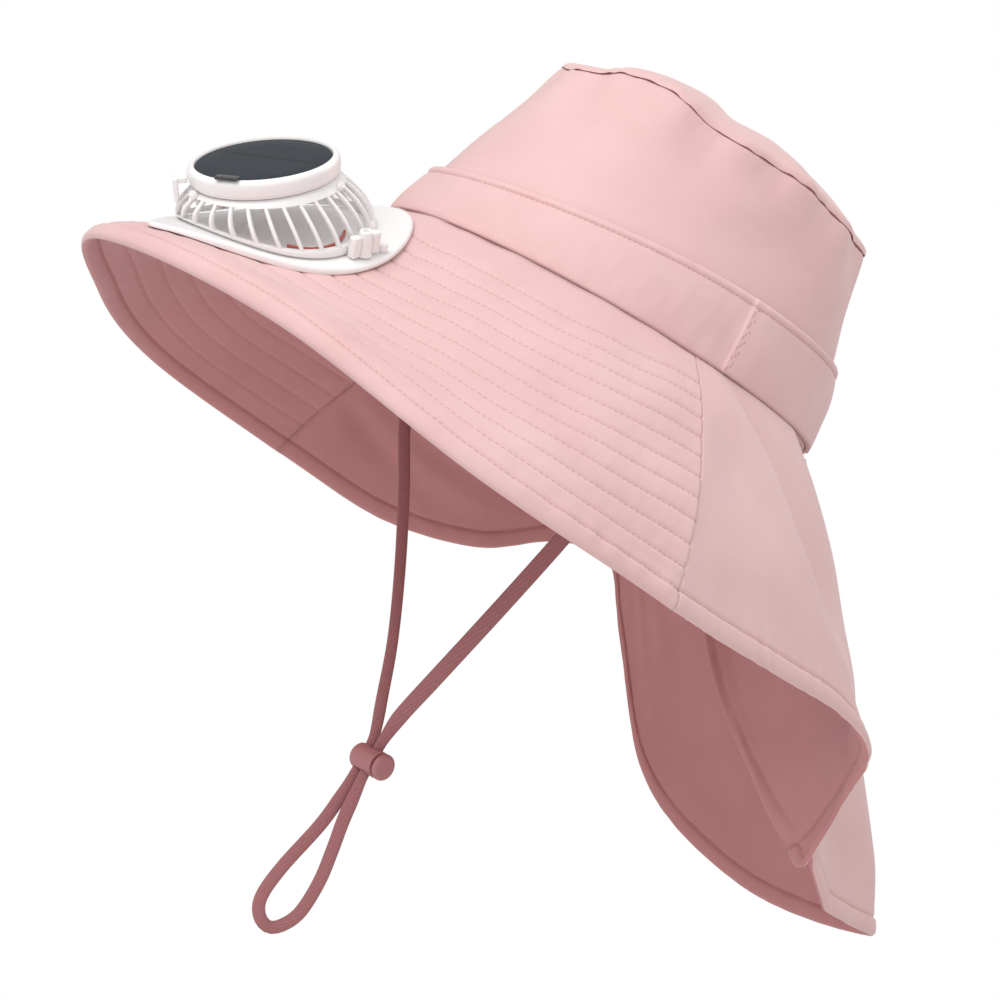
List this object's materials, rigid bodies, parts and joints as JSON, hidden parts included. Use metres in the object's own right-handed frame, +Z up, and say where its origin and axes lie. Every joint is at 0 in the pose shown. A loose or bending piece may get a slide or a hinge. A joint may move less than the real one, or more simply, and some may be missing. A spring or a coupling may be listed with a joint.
{
  "type": "solar fan hat",
  "caption": "Wide-brimmed sun hat with a gathered crown, quilted front brim, two-part neck flap, chin strap and a caged solar fan on the brim.",
  "frame": {"origin": "middle of the head opening, at the height where crown and brim meet", "axes": "+Z up the crown, -Y to the front, +X to the wearer's left"},
  "size_m": [0.3488, 0.4596, 0.3724],
  "materials": {
    "pink_cloth": "light dusty pink woven cloth with a faint satin sheen",
    "quilted_cloth": "the same cloth over a stiffener, quilted in rows along the hem",
    "rose_strap": "braided dusty rose cord",
    "rose_plastic": "moulded dusty rose plastic",
    "white_plastic": "near-white moulded plastic, lightly glossy",
    "grey_plastic": "grey moulded plastic",
    "dark_plastic": "black moulded plastic",
    "solar_cell": "slate-black glossy solar cell under clear resin",
    "lead_insulation": "red insulation"
  },
  "bodies": {
    "hat": {"crown_tip": "pink_cloth", "crown_side": "pink_cloth", "crown_band": "pink_cloth", "front_brim": "quilted_cloth", "left_flap": "pink_cloth", "right_flap": "pink_cloth", "chin_strap": "rose_strap", "strap_slider": "rose_plastic", "fan_base": "white_plastic", "fan_cage": "white_plastic", "fan_housing": "white_plastic", "solar_panel": "solar_cell", "fan_motor": "grey_plastic", "latch_tab": "dark_plastic", "cage_bracket": "white_plastic", "housing_boss_left": "white_plastic", "housing_boss_right": "white_plastic", "screw_post": "white_plastic", "post_block_front": "white_plastic", "post_block_rear": "white_plastic", "base_peg": "white_plastic", "motor_lead": "lead_insulation"},
    "impeller": {"impeller": "grey_plastic"},
    "lock_button": {"slider_button": "rose_plastic"}
  },
  "joints": [
    {"name": "impeller_spin", "type": "hinge", "parent": "hat", "child": "impeller", "pos_m": [0.02178, -0.17093, -0.01937], "axis": [0.1638, -0.6568, 0.7361], "continuous": true},
    {"name": "lock_button_press", "type": "slide", "parent": "hat", "child": "lock_button", "axis": [-0.9511, -0.309, 0], "range_m": [0, 0.001], "stiffness_N_per_m": 200}
  ]
}
